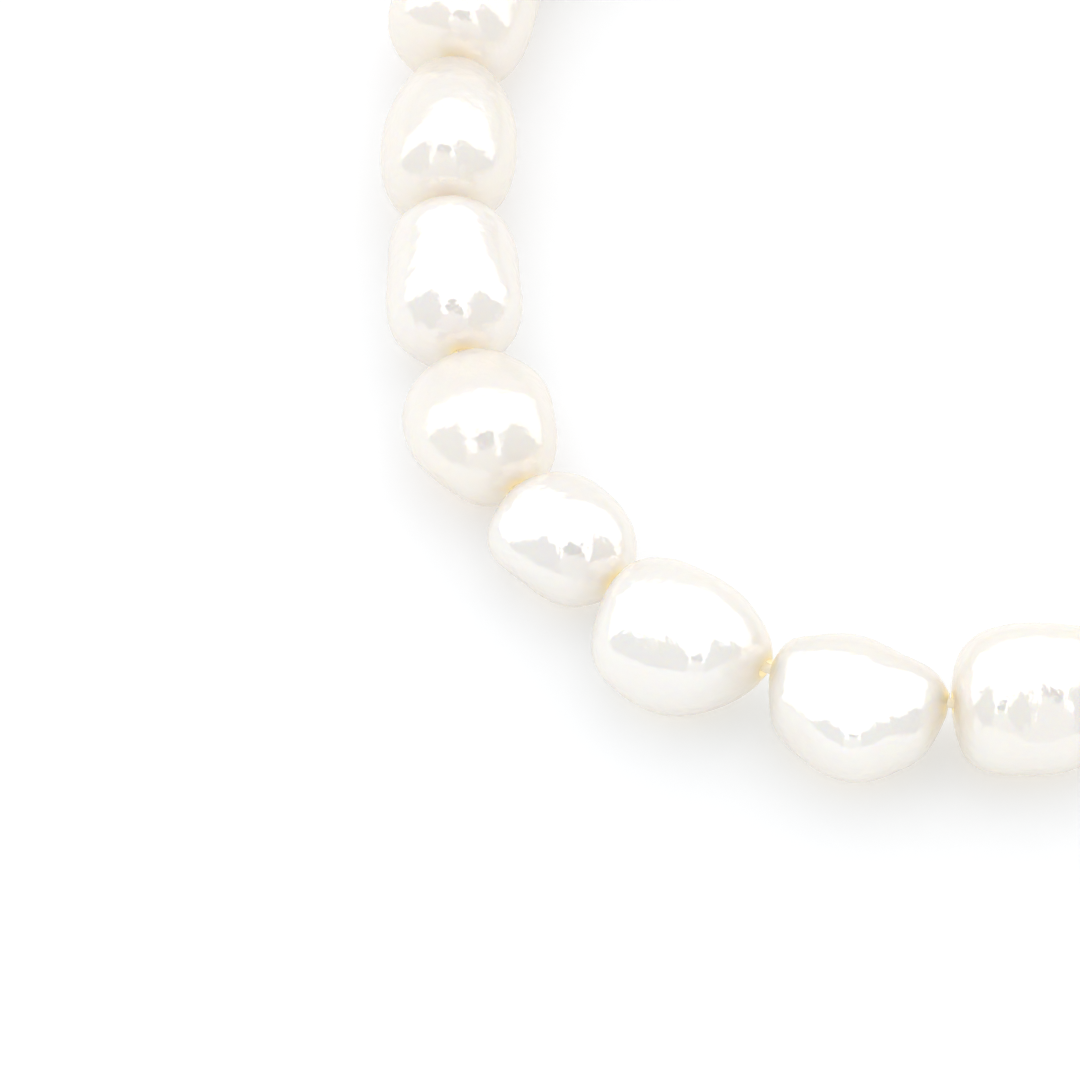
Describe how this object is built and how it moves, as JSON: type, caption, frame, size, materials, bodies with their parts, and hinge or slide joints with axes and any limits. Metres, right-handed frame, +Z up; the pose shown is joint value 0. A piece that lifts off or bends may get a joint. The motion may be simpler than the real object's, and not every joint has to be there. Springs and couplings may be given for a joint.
{
  "type": "beaded pearl bracelet",
  "caption": "Closed bracelet loop of drilled baroque freshwater pearls, threaded end to end on an elastic cord tied in a small knot, lying flat as an oval.",
  "frame": {"origin": "on the surface that the pearls lie on, under the middle of the bracelet's box", "axes": "+Z up through the wrist opening, X across the oval's short way, Y along its long way"},
  "size_m": [0.0638, 0.0742, 0.0076],
  "materials": {
    "pearl": "polished",
    "cord": "gloss"
  },
  "bodies": {
    "root": {"pearl_01": "pearl", "pearl_02": "pearl", "pearl_03": "pearl", "pearl_04": "pearl", "pearl_05": "pearl", "pearl_06": "pearl", "pearl_07": "pearl", "pearl_08": "pearl", "pearl_09": "pearl", "pearl_10": "pearl", "pearl_11": "pearl", "pearl_12": "pearl", "pearl_13": "pearl", "pearl_14": "pearl", "pearl_15": "pearl", "pearl_16": "pearl", "pearl_17": "pearl", "pearl_18": "pearl", "pearl_19": "pearl", "pearl_20": "pearl", "pearl_21": "pearl", "elastic_cord": "cord"}
  },
  "joints": []
}
